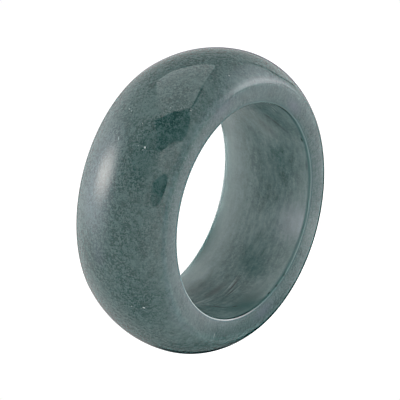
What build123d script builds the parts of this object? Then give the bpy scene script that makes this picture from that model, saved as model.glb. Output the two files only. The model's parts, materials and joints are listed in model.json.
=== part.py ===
from build123d import *
import os

# A plain jade band ring, turned and polished from one piece of stone, in millimetres.
# It lies on its side: the bore runs up the Z axis and the lower side face is on z = 0.
# The section is flat at the bore and at both side faces, and its outside is a low crown.
bore_diameter = 18.2  # the finger hole
band_width = 9.1  # from one side face to the other, along the bore
wall_thickness = 3.7  # from the bore to the crest of the crown
side_face_width = 1.9  # the flat round each mouth of the bore, out to the arris
crest_offset = 0.6  # how far the crest lies above the middle of the band
bore_edge_rounding = 0.2  # the eased edge at each mouth of the bore
arris_rounding = 0.7  # the soft edge where the crown meets a side face

bore_radius = bore_diameter / 2
arris_radius = bore_radius + side_face_width
crest_radius = bore_radius + wall_thickness
crest_height = band_width / 2 + crest_offset


def corner_at(sketch, radius, height):
    """The corner of the section that is nearest to a radius and a height."""
    return sketch.vertices().sort_by_distance((radius, height))[0]


def half_crown(side_height, direction):
    """The arc from the crest, where it runs straight along the bore, to one arris."""
    crest = (crest_radius, crest_height)
    arris = (arris_radius, side_height)
    return TangentArc(crest, arris, tangent=(0, direction))


def section():
    """Half of the ring's cross-section, on the XZ plane, to the right of the bore's axis."""
    with BuildSketch(Plane.XZ) as sketch:
        with BuildLine():
            half_crown(band_width, 1)
            half_crown(0, -1)
            Polyline(
                (arris_radius, band_width),
                (bore_radius, band_width),
                (bore_radius, 0),
                (arris_radius, 0),
            )
        make_face()
        for height in (0, band_width):
            fillet(corner_at(sketch, bore_radius, height), bore_edge_rounding)
            fillet(corner_at(sketch, arris_radius, height), arris_rounding)
    return sketch.sketch


def band_ring():
    """The whole ring: the section taken once round the axis of the bore."""
    return revolve(section(), axis=Axis.Z)


os.makedirs("parts", exist_ok=True)
export_step(band_ring(), "parts/band_ring.step")
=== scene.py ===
import json
import math

import bpy
import numpy as np
from mathutils import Matrix, Vector


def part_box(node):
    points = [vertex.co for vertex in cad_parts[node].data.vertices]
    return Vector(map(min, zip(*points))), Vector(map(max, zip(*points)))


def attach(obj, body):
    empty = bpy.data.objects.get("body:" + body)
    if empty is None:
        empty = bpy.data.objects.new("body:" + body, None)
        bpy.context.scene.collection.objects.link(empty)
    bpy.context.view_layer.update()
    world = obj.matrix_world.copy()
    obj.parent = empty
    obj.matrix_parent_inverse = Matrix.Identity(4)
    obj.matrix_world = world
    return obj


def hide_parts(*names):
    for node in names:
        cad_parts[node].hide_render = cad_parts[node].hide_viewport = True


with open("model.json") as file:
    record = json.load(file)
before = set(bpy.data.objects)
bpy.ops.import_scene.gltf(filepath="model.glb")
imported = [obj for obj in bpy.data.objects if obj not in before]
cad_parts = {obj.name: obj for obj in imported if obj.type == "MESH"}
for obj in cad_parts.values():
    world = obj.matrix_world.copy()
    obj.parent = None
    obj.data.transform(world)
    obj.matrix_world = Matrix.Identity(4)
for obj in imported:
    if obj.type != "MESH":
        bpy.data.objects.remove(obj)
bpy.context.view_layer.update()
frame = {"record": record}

# A jade band ring that lies on its side, dressed with the finish of polished stone. Lengths are in
# metres. Those named _mm or _MM, and those in the tables, are in millimetres.
MM = 0.001

# The section's sizes that the box and the finger hole's mount don't give.
SIDE_FACE_WIDTH = 1.9 * MM  # the flat round each mouth of the bore, out to the arris
CREST_OFFSET = 0.6 * MM  # how far the crest lies above the middle of the band
UPPER_EDGE_ROUNDING = 0.12 * MM  # where the bore meets the side faces
LOWER_EDGE_ROUNDING = 0.05 * MM
ARRIS_ROUNDING = 0.7 * MM
SIDE_CREST = 10.25 * MM  # where the slightly domed polish of the side faces is highest
SIDE_DOME_RADIUS = 9.2 * MM
SIDE_DOME_REACH = 1.0 * MM  # how far from its crest the dome goes on falling
DOME_FADE = 0.3 * MM  # how far below a side face the dome's fall has faded out

# How finely the ring is turned.
CROWN_STEPS = 84
ROUNDING_STEPS = 7
SIDE_STEPS = 8
BORE_EDGE_STEPS = 4
BORE_STEPS = 40
ROUND_STEPS = 600

lowest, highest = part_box("band_ring")
CREST_RADIUS = (highest.x - lowest.x) / 2
BAND_WIDTH = highest.z - lowest.z
BORE_RADIUS = frame["record"]["mounts"][0]["dims"]["r_mm"] * MM
CENTRE = Vector((0, 0, BAND_WIDTH / 2))

# Where the camera stands: the angle from the bore's axis to the line of sight, the axis's direction
# in the picture, counted from the right, and how much of the real ring a pixel shows.
AXIS_TO_SIGHT = math.radians(55.3)
AXIS_IN_PICTURE = math.radians(-14.95)
CAMERA_DISTANCE = 0.5607
NEAREST_SEEN = 0.01
FARTHEST_SEEN = 10
PICTURE_PIXELS = 400
PIXELS_PER_METRE = 12122  # at the middle of the ring
CENTRE_RIGHT_PIXELS = 1.33  # how far the ring's middle lies right of the picture's middle
CENTRE_UP_PIXELS = 0.32

# The white floor.
FLOOR_SIZE = 6
FLOOR_GAP = 0.02 * MM  # how far it lies below the ring
FLOOR_BRIGHTNESS = 1.02  # a little past white

# The light tent, by direction from the ring: azimuth 0 is towards the camera's side and 90 along +X,
# and the tent is seen only in the polish and in the light it gives. Each patch has an azimuth and
# elevation, a reach either way across and up, a roll, all in degrees, a softness from 0 for a sharp
# rim to 1, a brightness and a tint. The first twelve began as a fit of what the photo's polish
# mirrors and are set in coarse steps, as are the near cards and the patches in the finger hole.
TENT_BRIGHTNESS = 0.88
TENT_PATCHES = [
    ("lit_table", 130, -90, 85, 35, 0, 0.85, 1.5, "#fcfcff"),
    ("dark_right", 155, -15, 60, 55, 40, 0.8, 0.22, "#ffffff"),
    ("dim_left", -120, -35, 85, 45, 25, 0.75, 0.5, "#ffffff"),
    ("low_softbox", 10, -65, 35, 40, -70, 0.75, 2.5, "#f7f6ff"),
    ("low_lamp", 0, -60, 20, 20, 70, 1.0, 6.0, "#fff8f7"),
    ("upper_right", 55, 60, 65, 85, -35, 0.95, 1.5, "#ffffff"),
    ("rear_glow", -130, 50, 85, 40, -90, 0.15, 1.1, "#faf8ff"),
    ("rear_softbox", -145, 35, 50, 40, -35, 1.0, 3.6, "#fffaff"),
    ("rear_right", 150, 55, 85, 25, 35, 0.4, 1.3, "#f9f8ff"),
    ("dim_front", -20, -5, 30, 35, -55, 0.65, 0.5, "#ffffff"),
    ("dim_right", 100, -20, 85, 45, -55, 1.0, 0.55, "#ffffff"),
    ("rear_shade", -170, 60, 10, 35, -15, 0.45, 1.0, "#ffffff"),
    ("dark_beyond", 172, -3, 19, 27, 0, 0.6, 0.03, "#f6f0ff"),
    ("dark_below", 160, -27, 13, 9, 0, 0.6, 0.05, "#f6f0ff"),
    ("dark_rim", -173, -31, 14, 12, 0, 0.5, 0.45, "#f6f0ff"),
    ("arris_shade", -166, 26, 9, 9, 0, 1.0, 1.2, "#ffffff"),
]

# Small soft cards close behind the ring, seen mostly in its upper side face. Each has the point x, y
# of that face that mirrors its middle, a reach either way, a roll in degrees, a softness and a
# brightness.
NEAR_CARD_DISTANCE = 15 * MM
NEAR_CARDS = [
    ("right_flag", 11.5, 6.5, 9.0, 5.5, -25, 0.6, 0.55),
    ("far_gleam", 0.0, 10.0, 3.0, 6.0, 0, 1.0, 1.9),
    ("left_flag", -6.5, 3.0, 4.5, 1.5, 35, 0.7, 1.0),
]

# Flat cards in front of the tent, by their brightness and the directions of their corners.
CARD_DISTANCE = 2.0
CARD_GAP = 0.01  # how much farther off each stands than the one before it
CARDS = [
    ("dark_line", 0.1, [(-124, -11.4), (-130, -10.3), (-134, -8.6), (-139, -7.5), (-143, -4.9),
                        (-148, -4.9), (-153, -7.4), (-160, -12.5), (-160, -15.5), (-154, -10.4),
                        (-148, -6.7), (-143, -6.5), (-139, -8.9), (-134, -9.6), (-130, -11.2),
                        (-124, -12.2)]),
    ("dark_edge", 0.3, [(-88, 3), (-84, 9), (-79, 14), (-74, 19), (-68, 23), (-67, 21), (-72, 17),
                        (-78, 12), (-83, 7)]),
    ("grey_card", 1.25, [(-94, -47), (-104, -42), (-105, -37), (-106, -29), (-108, -19), (-107, -12),
                         (-93, -1), (-79, 11), (-69, 20), (-60, 14), (-55, 4), (-48, -7), (-58, -26),
                         (-74, -39)]),
    ("dark_flag", 0.2, [(-46, -17), (-48, -8), (-55, 2), (-59, 11), (-65, 20), (-62, 32), (-56, 42),
                        (-51, 44), (-45, 42), (-40, 34), (-35, 28), (-31, 27), (-26, 20), (-25, 11),
                        (-35, 3), (-40, -8)]),
    ("dark_port", 0.2, [(-3, 27), (-6, 30), (-10, 36), (-13, 42), (-12, 48), (-9, 52), (-3, 54),
                        (2, 52), (6, 49), (9, 43), (9, 37), (7, 31), (2, 28)]),
    ("grey_port", 0.55, [(0, 27), (2, 52), (6, 50), (13, 47), (16, 41), (15, 36), (10, 31), (4, 28)]),
    ("pale_card", 1.37, [(-28, 19), (-31, 28), (-39, 38), (-49, 45), (-40, 58), (-17, 50), (-12, 38),
                         (-16, 26)]),
]

# The lit table inside the finger hole, as the polish of the bore shows it. Each patch has a place
# x, y, a reach either way, a roll in degrees, a softness, a brightness and a tint.
HOLE_TABLE_SIDES = 96
HOLE_TABLE_GAP = 0.05 * MM  # between its rim and the bore
HOLE_TABLE_HEIGHT = 0.01 * MM  # above the lower side face
HOLE_BRIGHTNESS = 0.8
HOLE_PATCHES = [
    ("near_glow", 0.5, -3.5, 4.0, 5.5, 15, 1.0, 2.2, "#fbf2ff"),
    ("middle_streak", -0.2, 2.5, 0.8, 3.0, 0, 0.5, 1.2, "#ffffff"),
    ("left_shade", -3.0, 3.0, 3.5, 2.0, 25, 0.9, 0.25, "#ffffff"),
    ("right_shade", 5.0, 6.0, 4.5, 10.0, 10, 0.5, 0.4, "#ffffff"),
    ("right_glow", 4.5, -0.5, 3.0, 3.0, 0, 1.0, 0.85, "#ffffff"),
    ("far_shade", 0.5, 9.0, 10.0, 3.5, 15, 0.9, 0.27, "#ffffff"),
]

# Jadeite is a felt of fine crystals. Single ones show as its grain and bundles of them as flecks, and
# the clouds are slow changes of its colour. Each pattern has its width, the number of finer patterns
# in it and how strong each of those is beside the one before.
CLOUDS = (2.0, 2, 0.6)
FLECKS = (0.55, 1, 0.5)
GRAIN = (0.25, 2, 0.9)
TRACE_DETAIL = 2  # finer traces within the tool's traces
MIDDLE = 0.5  # of a pattern's values, and of the way from the dark to the pale colour

# The grain is not the same everywhere: it goes over to its strength at the arris between two heights,
# and it shows more in dark clouds than in pale ones.
GRAIN_CHANGES_FROM_MM = 6.2
GRAIN_CHANGES_TO_MM = 8.9
DARK_CLOUD = 0.35
PALE_CLOUD = 0.65
GRAIN_IN_DARK_CLOUD = 1.5
GRAIN_IN_PALE_CLOUD = 0.5

# Jadeite's index, and how deep light goes into the stone: red, green and blue as shares of the depth.
# Between two heights at the upper mouth's edge the share of light that goes in changes, because the
# edge shows as a crisp line from inside the bore.
JADEITE_IOR = 1.66
LIGHT_DEPTH_MM = 2.0
DEPTH_BY_COLOUR = (0.85, 0.95, 0.95)
LIGHT_SHARE = 1.0  # of the light that the polish doesn't mirror
EDGE_FROM_MM = 8.97
EDGE_TO_MM = 9.03

# The bore is painted paler near its mouths, for the light that comes through the thin stone there, and
# painted darker again, as painted shade, at its rounded edges and round the side faces' inner rim, where
# the edges lie in shade and mirror dark things. Each has the height of its full strength and the height
# where it ends, the strength and the colour. Those of the side faces have distances from the axis.
# painted shade round the inner rim of the side faces
SIDE_PAINTED_SHADE = [
    (9.2, 9.45, 0.9, "#1f4a4c"),
]
# painted glow near the bore's mouths and painted shade at its rounded edges
BORE_PAINTED_GLOW_AND_SHADE = [
    (0.0, 4.3, 0.6, "#b5c0bf"),
    (9.1, 5.7, 0.35, "#97a5a4"),
    (8.95, 8.6, 0.85, "#2e5351"),
    (0.0, 0.5, 0.5, "#5c6464"),
]

# Marks on the stone, with painted glints, painted reflections and painted shade lines among them: a colour,
# a place x, y, z, a reach along and across, the slant of the long way from the level in degrees, and how
# strongly it shows. A later one lies over an earlier one.
MARK_AND_PAINTED_LIGHT_COLOURS = {"pale": "#c2cfcd", "dark": "#0c2625", "teal": "#23504d", "lilac": "#4f5a68"}
MARK_DEPTH_MM = 0.3  # how far a mark reaches into the stone
DEPTH_BY_REACH = 0.3  # and how much further the wide ones do
OUTSIDE_MARKS_AND_PAINTED_LIGHT = [
    # painted glints of pits and scratches that catch the light
    ("pale", 9.70, -7.72, 7.16, 0.16, 0.10, 60, 1.0),
    ("pale", 9.84, -8.03, 6.16, 0.09, 0.09, 0, 0.6),
    ("pale", -2.90, -12.31, 6.39, 0.16, 0.11, 20, 1.0),
    ("pale", -2.67, -12.38, 6.31, 0.08, 0.08, 0, 0.5),
    ("pale", -2.93, -12.42, 5.80, 0.10, 0.10, 0, 0.3),
    ("pale", -5.62, -11.23, 3.15, 0.14, 0.08, 80, 0.7),
    ("pale", -5.50, -11.37, 3.50, 0.12, 0.07, 10, 0.6),
    ("pale", -4.74, -11.89, 5.25, 0.12, 0.10, 0, 0.3),
    ("pale", -6.76, -9.81, 8.07, 0.10, 0.10, 0, 0.35),
    ("pale", -10.36, -5.85, 8.09, 0.10, 0.10, 0, 0.5),
    ("pale", -6.56, -10.72, 6.69, 0.10, 0.10, 0, 0.3),
    ("pale", -3.07, -12.28, 3.61, 0.25, 0.05, 30, 0.5),
    ("pale", 10.56, 0.28, 9.10, 0.10, 0.10, 0, 0.25),
    # dark specks, the last one drawn out beside the mouth of the bore
    ("dark", -0.58, -12.54, 3.17, 0.12, 0.09, 0, 0.9),
    ("dark", 0.03, -12.64, 3.54, 0.12, 0.09, 0, 0.8),
    ("dark", 0.53, -12.63, 3.53, 0.10, 0.08, 0, 0.8),
    ("dark", -5.45, -11.33, 3.22, 0.12, 0.10, 0, 0.9),
    ("dark", -10.51, -3.43, 9.02, 0.10, 0.10, 0, 0.7),
    ("dark", -8.55, 3.40, 9.05, 0.50, 0.20, 0, 0.4),
    # lilac areas
    ("lilac", 7.60, 6.35, 9.10, 2.20, 1.00, 0, 0.45),
    ("lilac", -7.60, -6.90, 9.10, 2.50, 1.00, 0, 0.35),
    ("lilac", -9.40, 2.90, 9.10, 1.80, 1.00, 0, 0.5),
    ("lilac", 6.56, -10.83, 3.65, 1.60, 1.20, 0, 0.3),
]
BORE_MARKS_AND_PAINTED_LIGHT = [
    # greener, paler and darker areas, the paler one a painted reflection, and the painted shade line under
    # stretches of the upper mouth
    ("teal", 7.20, 5.57, 7.90, 3.60, 1.80, 0, 0.9),
    ("teal", 7.55, 5.09, 7.60, 2.60, 0.90, 8, 0.6),
    ("teal", 3.30, 8.48, -0.10, 4.50, 1.60, 0, 0.7),
    ("pale", -7.40, 5.29, 4.70, 3.60, 2.40, -45, 0.25),
    ("dark", -7.15, 5.63, 5.30, 1.60, 0.80, -40, 0.35),
    ("dark", 8.70, 2.67, 8.95, 5.00, 0.22, 0, 1.0),
    ("dark", -6.60, 6.27, 0.00, 2.00, 1.50, 0, 0.4),
    ("dark", -9.00, 1.40, 8.95, 3.20, 0.16, 0, 0.9),
    ("dark", -7.90, -4.50, 8.95, 3.20, 0.16, 0, 0.9),
    # cuts that the drill left, some with a pale lip
    ("dark", 6.33, 6.54, 5.33, 1.90, 0.13, -3, 1.0),
    ("pale", 6.26, 6.60, 5.07, 1.90, 0.10, -3, 0.2),
    ("dark", 6.76, 6.09, 5.66, 1.00, 0.10, 2, 1.0),
    ("pale", 6.55, 6.32, 5.84, 1.20, 0.08, 5, 0.15),
    ("dark", 7.04, 5.77, 4.30, 2.00, 0.60, 5, 0.6),
    ("pale", 8.20, 3.95, 4.40, 1.20, 0.20, 10, 0.2),
    ("pale", 7.90, 4.50, 4.85, 1.00, 0.20, 10, 0.15),
    ("dark", 8.25, 3.85, 6.10, 1.80, 0.18, 68, 0.9),
    ("dark", 7.83, 4.64, 7.35, 0.40, 0.20, 30, 0.8),
    ("pale", 6.10, 6.75, 1.90, 1.80, 0.90, 0, 0.15),
    ("dark", 7.28, 5.46, 2.70, 2.30, 1.50, 5, 0.35),
    # the glint of the upper mouth's edge
    ("pale", -6.60, 6.30, 9.00, 4.00, 0.20, 0, 0.04),
    ("pale", -2.40, 8.80, 9.00, 4.00, 0.20, 0, 0.07),
    ("pale", 2.00, 8.90, 9.00, 4.00, 0.20, 0, 0.10),
    ("pale", 7.94, -4.58, 9.05, 3.00, 0.14, 0, 0.4),
    ("pale", 9.03, -1.59, 9.05, 3.00, 0.14, 0, 0.35),
    ("pale", 9.03, 1.59, 9.05, 3.00, 0.14, 0, 0.3),
    ("pale", 8.10, 4.30, 9.05, 2.00, 0.14, 0, 0.1),
    # veins and thin scratches
    ("dark", -7.72, 4.82, 6.60, 1.70, 0.28, -40, 0.5),
    ("dark", -8.10, 4.15, 5.95, 0.60, 0.35, -45, 0.5),
    ("pale", -8.82, 2.25, 7.70, 0.90, 0.06, 0, 0.4),
    ("pale", -8.70, 2.70, 7.30, 0.80, 0.06, 0, 0.3),
    # small dark chips under the upper mouth
    ("dark", -6.95, 5.88, 8.70, 0.40, 0.18, 0, 0.8),
    ("dark", -5.04, 7.57, 8.65, 0.70, 0.18, 0, 0.4),
    ("dark", 6.04, 6.80, 8.85, 0.35, 0.14, 0, 0.9),
    ("dark", 5.30, 7.42, 8.97, 0.25, 0.14, 0, 0.7),
    ("dark", 4.28, 8.09, 9.00, 0.25, 0.14, 0, 0.5),
]

# The three finishes of the one stone, by what made them, and the bore's colours painted paler for the
# light in the hole. Each has the polish's roughness, the dark, middle and pale colours of the stone, how
# strongly its clouds, flecks, grain, grain at the arris and the tool's traces show, how many traces there
# are to a radian round the axis, to a millimetre up it and to a millimetre out from it, how deep they are,
# the share of light that goes in at the upper mouth's edge, the painted glow and shade by height and by
# distance from the axis, and the marks and painted light that lie on it.
FINISHES = {
    # Ground round and buffed to a gloss, so it mirrors the studio sharply, with a faint wave.
    "jade_crown": {
        "roughness": 0.05, "dark": "#124240", "middle": "#345654", "pale": "#4b6866",
        "clouds": 1.2, "flecks": 1.1, "grain": 4.7, "arris_grain": 1.6, "traces": 0.0,
        "trace_counts": (5, 3, 0), "trace_depth_mm": 0.0010, "edge_light": 1.0,
        "painted_light_by_height": [], "painted_shade_by_distance": [], "marks_and_painted_light": OUTSIDE_MARKS_AND_PAINTED_LIGHT,
    },
    # Lapped and polished by hand, so it is a little duller, with fine traces that lead outwards.
    "jade_side": {
        "roughness": 0.10, "dark": "#123f3f", "middle": "#315150", "pale": "#466261",
        "clouds": 0.9, "flecks": 0.3, "grain": 1.8, "arris_grain": 1.8, "traces": 0.5,
        "trace_counts": (70, 0, 0.4), "trace_depth_mm": 0.0012, "edge_light": 1.0,
        "painted_light_by_height": [], "painted_shade_by_distance": SIDE_PAINTED_SHADE, "marks_and_painted_light": OUTSIDE_MARKS_AND_PAINTED_LIGHT,
    },
    # Drilled and polished last, so it is the dullest, with the drill's traces round the hole. Its colours
    # are painted paler than the crown's, for the light that comes through the thin stone into the hole.
    "jade_bore": {
        "roughness": 0.12, "dark": "#1e4947", "middle": "#3e605e", "pale": "#577271",
        "clouds": 1.3, "flecks": 0.8, "grain": 1.3, "arris_grain": 1.3, "traces": 1.5,
        "trace_counts": (8, 2.5, 0), "trace_depth_mm": 0.0020, "edge_light": 0.3,
        "painted_light_by_height": BORE_PAINTED_GLOW_AND_SHADE, "painted_shade_by_distance": [], "marks_and_painted_light": BORE_MARKS_AND_PAINTED_LIGHT,
    },
}

PICTURE_SHARPENING = 0.08  # a camera's, put on the finished picture
SCREEN_GAMMA = 2.2


def linear(hex_colour):
    """A linear colour with alpha from sRGB hex."""
    parts = [int(hex_colour[i:i + 2], 16) / 255 for i in (1, 3, 5)]
    curved = [p / 12.92 if p <= 0.04045 else ((p + 0.055) / 1.055) ** 2.4 for p in parts]
    return (*curved, 1.0)


def lit(brightness, tint="#ffffff"):
    """A linear colour of the given brightness."""
    return [part * brightness for part in linear(tint)[:3]] + [1]


def set_inputs(tree, node, inputs):
    """Gives inputs of a node their values. A value is a number, a colour or another node's output."""
    for name, value in inputs.items():
        if isinstance(value, bpy.types.NodeSocket):
            tree.links.new(value, node.inputs[name])
        else:
            node.inputs[name].default_value = value


def add_node(tree, kind, inputs=None, **settings):
    """A new node with its settings and inputs."""
    node = tree.nodes.new(kind)
    for name, value in settings.items():
        setattr(node, name, value)
    set_inputs(tree, node, inputs or {})
    return node


def add_mesh(name, verts, faces):
    """A new piece in the scene from its corners and faces."""
    mesh = bpy.data.meshes.new(name)
    mesh.from_pydata(verts, [], faces)
    piece = bpy.data.objects.new(name, mesh)
    bpy.context.scene.collection.objects.link(piece)
    return piece


def direction(azimuth, elevation):
    """A unit direction: azimuth 0 is towards the camera's side and 90 along +X, in degrees."""
    a, e = math.radians(azimuth), math.radians(elevation)
    return Vector((math.sin(a) * math.cos(e), -math.cos(a) * math.cos(e), math.sin(e)))


def rolled(level, facing, roll):
    """The turn that takes X to a level direction and Z to a facing one, then rolled, in degrees."""
    turn = Matrix((level, facing.cross(level), facing)).transposed()
    return turn @ Matrix.Rotation(math.radians(roll), 3, "Z")


def camera_directions():
    """The camera's right, up and back directions, in the ring's frame."""
    back = Vector((0, -math.sin(AXIS_TO_SIGHT), math.cos(AXIS_TO_SIGHT)))
    along_axis = Vector((0, math.cos(AXIS_TO_SIGHT), math.sin(AXIS_TO_SIGHT)))
    across = Vector((1, 0, 0))
    turn_cos, turn_sin = math.cos(AXIS_IN_PICTURE), math.sin(AXIS_IN_PICTURE)
    right = turn_cos * along_axis + turn_sin * across
    up = turn_sin * along_axis - turn_cos * across
    return right, up, back


def add_camera():
    """The camera at the photo's angle to the ring, rolled as the photo shows the ring."""
    right, up, back = camera_directions()
    data = bpy.data.cameras.new("camera")
    data.lens = PIXELS_PER_METRE * CAMERA_DISTANCE * data.sensor_width / PICTURE_PIXELS
    data.clip_start = NEAREST_SEEN
    data.clip_end = FARTHEST_SEEN
    camera = bpy.data.objects.new("camera", data)
    aside = (CENTRE_RIGHT_PIXELS * right + CENTRE_UP_PIXELS * up) / PIXELS_PER_METRE
    turn = Matrix((right, up, back)).transposed().to_4x4()
    camera.matrix_world = Matrix.Translation(CENTRE + back * CAMERA_DISTANCE - aside) @ turn
    bpy.context.scene.collection.objects.link(camera)
    bpy.context.scene.camera = camera


def arc(centre, radius, start, stop, steps):
    """Points on an arc in the section's plane, as (distance from the axis, height)."""
    turns = np.linspace(start, stop, steps + 1)
    return [(centre[0] + radius * math.cos(t), centre[1] + radius * math.sin(t)) for t in turns]


def domed(point):
    """A point of the section, lowered as the domed polish of the nearest side face asks."""
    radius, height = point
    side = 1 if height > BAND_WIDTH / 2 else -1
    depth = BAND_WIDTH / 2 - side * (height - BAND_WIDTH / 2)
    fall = min(abs(radius - SIDE_CREST), SIDE_DOME_REACH) ** 2 / (2 * SIDE_DOME_RADIUS)
    fall *= max(0, 1 - depth / DOME_FADE)
    return radius, height - side * fall


def crown_half(side_height, side):
    """The crown from its crest to one side face: a long arc, then the rounding of the arris."""
    crest_height = BAND_WIDTH / 2 + CREST_OFFSET
    rise = CREST_RADIUS - BORE_RADIUS - SIDE_FACE_WIDTH
    reach = abs(side_height - crest_height)
    radius = (rise ** 2 + reach ** 2) / (2 * rise)
    middle = CREST_RADIUS - radius
    rounding_height = reach - ARRIS_ROUNDING
    rounding_middle = middle + math.sqrt((radius - ARRIS_ROUNDING) ** 2 - rounding_height ** 2)
    meet = math.atan2(rounding_height, rounding_middle - middle)
    long_arc = arc((middle, 0), radius, 0, meet, CROWN_STEPS // 2)
    rounding = arc((rounding_middle, rounding_height), ARRIS_ROUNDING, meet, math.pi / 2, ROUNDING_STEPS)
    return [(r, crest_height + side * h) for r, h in long_arc[:-1] + rounding]


def section():
    """The closed outline of the ring's section, once round from the crest, and each point's finish."""
    upper = crown_half(BAND_WIDTH, 1)
    lower = crown_half(0, -1)
    upper_middle = BORE_RADIUS + UPPER_EDGE_ROUNDING
    lower_middle = BORE_RADIUS + LOWER_EDGE_ROUNDING
    upper_radii = np.linspace(upper[-1][0], upper_middle, SIDE_STEPS + 1)
    lower_radii = np.linspace(lower[-1][0], lower_middle, SIDE_STEPS + 1)
    upper_side = [(r, BAND_WIDTH) for r in upper_radii[1:-1]]
    lower_side = [(r, 0.0) for r in lower_radii[1:-1]]
    upper_edge = arc((upper_middle, BAND_WIDTH - UPPER_EDGE_ROUNDING), UPPER_EDGE_ROUNDING,
                     math.pi / 2, math.pi, BORE_EDGE_STEPS)
    lower_edge = arc((lower_middle, LOWER_EDGE_ROUNDING), LOWER_EDGE_ROUNDING,
                     -math.pi / 2, -math.pi, BORE_EDGE_STEPS)
    heights = np.linspace(upper_edge[-1][1], lower_edge[-1][1], BORE_STEPS + 1)
    bore = [(BORE_RADIUS, h) for h in heights[1:-1]]
    parts = [
        (upper, "jade_crown"), (upper_side, "jade_side"), (upper_edge, "jade_bore"),
        (bore, "jade_bore"), (lower_edge[::-1], "jade_bore"), (lower_side[::-1], "jade_side"),
        (lower[:0:-1], "jade_crown"),
    ]
    points = [domed(p) for part, _ in parts for p in part]
    finishes = [name for part, name in parts for _ in part]
    return points, finishes


def lathe(name, outline, finishes):
    """A closed mesh from the section's outline taken round the Z axis."""
    turns = np.linspace(0, 2 * math.pi, ROUND_STEPS, endpoint=False)
    radii = np.array([p[0] for p in outline])
    heights = np.array([p[1] for p in outline])
    x = np.outer(np.cos(turns), radii)
    y = np.outer(np.sin(turns), radii)
    z = np.tile(heights, (ROUND_STEPS, 1))
    verts = np.stack([x, y, z], axis=2).reshape(-1, 3)
    slot_of = {finish: slot for slot, finish in enumerate(FINISHES)}
    count = len(outline)
    faces = []
    slots = []
    for i in range(ROUND_STEPS):
        here, there = i * count, (i + 1) % ROUND_STEPS * count
        for j in range(count):
            k = (j + 1) % count
            faces.append((here + j, there + j, there + k, here + k))
            slots.append(slot_of[finishes[j]])
    piece = add_mesh(name, verts.tolist(), faces)
    piece.data.polygons.foreach_set("material_index", slots)
    piece.data.polygons.foreach_set("use_smooth", [True] * len(faces))
    piece.data.update()
    return piece


def place_in_mm(tree):
    """Where a point lies on its own piece, in millimetres."""
    place = add_node(tree, "ShaderNodeTexCoord").outputs["Object"]
    return add_node(tree, "ShaderNodeVectorMath", {0: place, "Scale": 1 / MM}, operation="SCALE").outputs[0]


def out_from_axis(tree, place):
    """The level way from the Z axis out to a place, and how far that is."""
    way = add_node(tree, "ShaderNodeVectorMath", {0: place, 1: (1, 1, 0)}, operation="MULTIPLY").outputs[0]
    distance = add_node(tree, "ShaderNodeVectorMath", {0: way}, operation="LENGTH").outputs["Value"]
    return way, distance


def round_the_axis(tree, way, distance, height, by_turn, by_height, by_distance):
    """Coordinates that follow the ring round, so a noise on them can be drawn out along the turning."""
    outwards = add_node(tree, "ShaderNodeVectorMath", {0: way}, operation="NORMALIZE").outputs[0]
    rise = add_node(tree, "ShaderNodeMath", {0: height, 1: by_height}, operation="MULTIPLY").outputs[0]
    lift = add_node(tree, "ShaderNodeMath", {0: distance, 1: by_distance, 2: rise},
                    operation="MULTIPLY_ADD").outputs[0]
    upwards = add_node(tree, "ShaderNodeCombineXYZ", {"Z": lift}).outputs[0]
    return add_node(tree, "ShaderNodeVectorMath", {0: outwards, 1: (by_turn, by_turn, by_turn), 2: upwards},
                    operation="MULTIPLY_ADD").outputs[0]


def soft_patch(tree, place, middle, turn, reach, softness=1.0, strength=1.0):
    """A share, highest in the middle of a turned ellipsoid, that fades out towards its surface."""
    inside = add_node(tree, "ShaderNodeMapping", {
        "Vector": place, "Location": middle, "Rotation": turn.to_euler(), "Scale": reach,
    }, vector_type="TEXTURE").outputs[0]
    fade = add_node(tree, "ShaderNodeTexGradient", {"Vector": inside}, gradient_type="SPHERICAL")
    return add_node(tree, "ShaderNodeMapRange", {
        "Value": fade.outputs["Fac"], "From Max": softness, "To Max": strength,
    }, interpolation_type="SMOOTHSTEP").outputs[0]


def painted(tree, colour, layers):
    """A colour with others painted over it, each by its share."""
    for share, over in layers:
        # The mix node has its colours at inputs 6 and 7 and the mixed one at output 2.
        colour = add_node(tree, "ShaderNodeMix", {0: share, 6: colour, 7: over},
                          data_type="RGBA").outputs[2]
    return colour


def painted_light_layers(tree, reading, glows_and_shades):
    """The share and the colour of each painted glow or shade, by a height or a distance from the axis."""
    for full, end, strength, colour in glows_and_shades:
        share = add_node(tree, "ShaderNodeMapRange", {
            "Value": reading, "From Min": full, "From Max": end, "To Min": strength, "To Max": 0.0,
        }, interpolation_type="SMOOTHSTEP").outputs[0]
        yield share, linear(colour)


def mark_and_painted_light_layers(tree, place, marks_and_painted_light):
    """The share and the colour of each mark, painted glint, painted reflection and painted shade line."""
    for colour, x, y, z, along, across, slant, strength in marks_and_painted_light:
        outwards = Vector((x, y, 0)).normalized()
        turn = rolled(Vector((-outwards.y, outwards.x, 0)), outwards, slant)
        depth = MARK_DEPTH_MM + DEPTH_BY_REACH * along
        share = soft_patch(tree, place, (x, y, z), turn, (along, across, depth), strength=strength)
        yield share, linear(MARK_AND_PAINTED_LIGHT_COLOURS[colour])


def tent_layers(tree, towards):
    """The share and the light of each of the tent's patches."""
    for _, azimuth, elevation, across, up, roll, softness, brightness, tint in TENT_PATCHES:
        facing = direction(azimuth, elevation)
        turn = rolled(direction(azimuth + 90, 0), facing, roll)
        reach = (math.sin(math.radians(across)), math.sin(math.radians(up)), 1)
        yield soft_patch(tree, towards, facing, turn, reach, softness), lit(brightness, tint)


def hole_layers(tree, place):
    """The share and the light of each patch on the table in the finger hole."""
    for _, x, y, across, up, roll, softness, brightness, tint in HOLE_PATCHES:
        turn = rolled(Vector((1, 0, 0)), Vector((0, 0, 1)), roll)
        yield soft_patch(tree, place, (x, y, 0), turn, (across, up, 1), softness), lit(brightness, tint)


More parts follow.
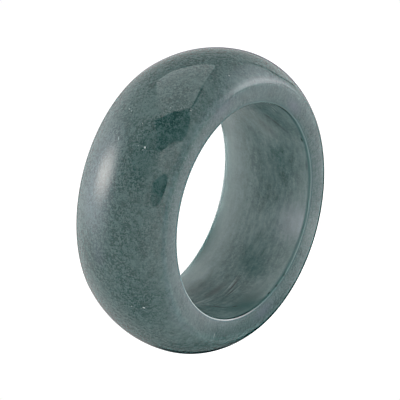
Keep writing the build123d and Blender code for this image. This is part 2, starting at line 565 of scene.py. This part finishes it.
def stone_colour(tree, place, height, traces, finish):
    """The stone's own colour, from dark to pale by its clouds, flecks, grain and traces."""
    clouds, flecks, grain = [
        add_node(tree, "ShaderNodeTexNoise", {
            "Vector": place, "Scale": 1 / width, "Detail": finer, "Roughness": strength,
        }).outputs["Fac"]
        for width, finer, strength in (CLOUDS, FLECKS, GRAIN)
    ]
    by_height = add_node(tree, "ShaderNodeMapRange", {
        "Value": height, "From Min": GRAIN_CHANGES_FROM_MM, "From Max": GRAIN_CHANGES_TO_MM,
        "To Min": finish["grain"], "To Max": finish["arris_grain"],
    }).outputs[0]
    by_cloud = add_node(tree, "ShaderNodeMapRange", {
        "Value": clouds, "From Min": DARK_CLOUD, "From Max": PALE_CLOUD,
        "To Min": GRAIN_IN_DARK_CLOUD, "To Max": GRAIN_IN_PALE_CLOUD,
    }).outputs[0]
    grainy = add_node(tree, "ShaderNodeMath", {0: by_height, 1: by_cloud}, operation="MULTIPLY").outputs[0]
    shade = MIDDLE
    for pattern, strength in ((clouds, finish["clouds"]), (flecks, finish["flecks"]),
                              (grain, grainy), (traces, finish["traces"])):
        above = add_node(tree, "ShaderNodeMath", {0: pattern, 1: MIDDLE}, operation="SUBTRACT").outputs[0]
        shade = add_node(tree, "ShaderNodeMath", {0: above, 1: strength, 2: shade},
                         operation="MULTIPLY_ADD").outputs[0]
    ramp = add_node(tree, "ShaderNodeValToRGB", {"Fac": shade})
    ramp.color_ramp.elements[0].color = linear(finish["dark"])
    ramp.color_ramp.elements[1].color = linear(finish["pale"])
    ramp.color_ramp.elements.new(MIDDLE).color = linear(finish["middle"])
    return ramp.outputs["Color"]


def jade(name, finish):
    """Polished jadeite: a deep teal stone, a little translucent, with fine paler and darker grain."""
    material = bpy.data.materials.new(name)
    material.use_nodes = True
    tree = material.node_tree
    place = place_in_mm(tree)
    height = add_node(tree, "ShaderNodeSeparateXYZ", {0: place}).outputs["Z"]
    way, distance = out_from_axis(tree, place)
    along_traces = round_the_axis(tree, way, distance, height, *finish["trace_counts"])
    traces = add_node(tree, "ShaderNodeTexNoise", {
        "Vector": along_traces, "Scale": 1.0, "Detail": TRACE_DETAIL,
    }).outputs["Fac"]
    colour = stone_colour(tree, place, height, traces, finish)
    # Over the stone's own colour go the painted glow and shade of the bore and side faces, then the marks
    # with the painted glints, reflections and shade lines among them.
    colour = painted(tree, colour, painted_light_layers(tree, height, finish["painted_light_by_height"]))
    colour = painted(tree, colour, painted_light_layers(tree, distance, finish["painted_shade_by_distance"]))
    colour = painted(tree, colour, mark_and_painted_light_layers(tree, place, finish["marks_and_painted_light"]))
    relief = add_node(tree, "ShaderNodeBump", {"Height": traces, "Distance": finish["trace_depth_mm"] * MM})
    light_share = add_node(tree, "ShaderNodeMapRange", {
        "Value": height, "From Min": EDGE_FROM_MM, "From Max": EDGE_TO_MM,
        "To Min": LIGHT_SHARE, "To Max": finish["edge_light"],
    }).outputs[0]
    set_inputs(tree, tree.nodes["Principled BSDF"], {
        "Base Color": colour, "Roughness": finish["roughness"], "IOR": JADEITE_IOR,
        "Normal": relief.outputs["Normal"], "Subsurface Weight": light_share,
        "Subsurface Radius": DEPTH_BY_COLOUR, "Subsurface Scale": LIGHT_DEPTH_MM * MM,
    })
    return material


def make_ring():
    """The whole ring, in its three finishes."""
    outline, finishes = section()
    ring = lathe("ring", outline, finishes)
    for name, finish in FINISHES.items():
        ring.data.materials.append(jade(name, finish))
    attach(ring, "root")
    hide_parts("band_ring")


def hide_from_all_but(piece, kept):
    """Leaves a stage piece visible only to one kind of ray."""
    for kind in ("camera", "diffuse", "glossy", "transmission", "volume_scatter", "shadow"):
        setattr(piece, "visible_" + kind, kind == kept)


def glowing(name, brightness):
    """A lit sheet: it only glows."""
    material = bpy.data.materials.new(name)
    material.use_nodes = True
    tree = material.node_tree
    set_inputs(tree, tree.nodes["Principled BSDF"], {
        "Base Color": linear("#000000"), "Specular IOR Level": 0.0,
        "Emission Color": linear("#ffffff"), "Emission Strength": brightness,
    })
    return material


def add_floor():
    """A wide sheet of white acrylic that the ring lies on, lit from below until no shadow is left."""
    bpy.ops.mesh.primitive_plane_add(size=FLOOR_SIZE, location=(0, 0, -FLOOR_GAP))
    floor = bpy.context.object
    floor.name = "floor"
    floor.data.materials.append(glowing("lit_white_acrylic", FLOOR_BRIGHTNESS))
    hide_from_all_but(floor, "camera")


def add_tent():
    """The tent round the ring, painted by direction with its soft patches."""
    world = bpy.data.worlds.new("tent")
    world.use_nodes = True
    tree = world.node_tree
    towards = add_node(tree, "ShaderNodeTexCoord").outputs["Generated"]
    colour = painted(tree, lit(TENT_BRIGHTNESS), tent_layers(tree, towards))
    set_inputs(tree, tree.nodes["Background"], {"Color": colour})
    bpy.context.scene.world = world
    bpy.context.scene.view_settings.view_transform = "Standard"


def add_hole_light():
    """The table's light inside the finger hole, seen only in the polish."""
    bpy.ops.mesh.primitive_circle_add(vertices=HOLE_TABLE_SIDES, radius=BORE_RADIUS - HOLE_TABLE_GAP,
                                      fill_type="NGON", location=(0, 0, HOLE_TABLE_HEIGHT))
    table = bpy.context.object
    table.name = "table_in_the_hole"
    material = glowing("table_light", 1.0)
    tree = material.node_tree
    colour = painted(tree, lit(HOLE_BRIGHTNESS), hole_layers(tree, place_in_mm(tree)))
    set_inputs(tree, tree.nodes["Principled BSDF"], {"Emission Color": colour})
    table.data.materials.append(material)
    hide_from_all_but(table, "glossy")


def add_card(order, name, brightness, corners):
    """A flat card that faces the ring, with its corners in the given directions, each behind the last."""
    towards = [direction(*corner) for corner in corners]
    middle = sum(towards, Vector()).normalized()
    distance = CARD_DISTANCE + order * CARD_GAP
    verts = [CENTRE + t * distance / t.dot(middle) for t in towards]
    card = add_mesh(name, verts, [range(len(verts))])
    card.data.materials.append(glowing(name, brightness))
    hide_from_all_but(card, "glossy")


def add_near_card(name, x, y, across, up, roll, softness, brightness):
    """A small glowing card with a soft rim, where one point of the upper side face mirrors it."""
    towards = direction(180, 90 - math.degrees(AXIS_TO_SIGHT))
    turn = rolled(Vector((1, 0, 0)), towards, roll)
    bpy.ops.mesh.primitive_plane_add(size=2 * max(across, up) * MM)
    card = bpy.context.object
    card.name = name
    middle = Vector((x * MM, y * MM, BAND_WIDTH)) + NEAR_CARD_DISTANCE * towards
    card.matrix_world = Matrix.Translation(middle) @ turn.to_4x4()
    material = glowing(name, brightness)
    tree = material.node_tree
    share = soft_patch(tree, place_in_mm(tree), (0, 0, 0), Matrix.Identity(3), (across, up, 1), softness)
    set_inputs(tree, tree.nodes["Principled BSDF"], {"Alpha": share})
    card.data.materials.append(material)
    hide_from_all_but(card, "glossy")


def sharpen_picture():
    """The slight sharpening that a camera gives its picture."""
    scene = bpy.context.scene
    scene.use_nodes = True
    tree = scene.node_tree
    tree.nodes.clear()
    picture = add_node(tree, "CompositorNodeRLayers").outputs["Image"]
    shown = add_node(tree, "CompositorNodeGamma", {"Image": picture, "Gamma": 1 / SCREEN_GAMMA}).outputs[0]
    sharp = add_node(tree, "CompositorNodeFilter", {"Fac": PICTURE_SHARPENING, "Image": shown},
                     filter_type="SHARPEN").outputs[0]
    picture = add_node(tree, "CompositorNodeGamma", {"Image": sharp, "Gamma": SCREEN_GAMMA}).outputs[0]
    add_node(tree, "CompositorNodeComposite", {"Image": picture})


add_camera()
make_ring()
add_floor()
add_tent()
add_hole_light()
for order, card in enumerate(CARDS):
    add_card(order, *card)
for card in NEAR_CARDS:
    add_near_card(*card)
sharpen_picture()
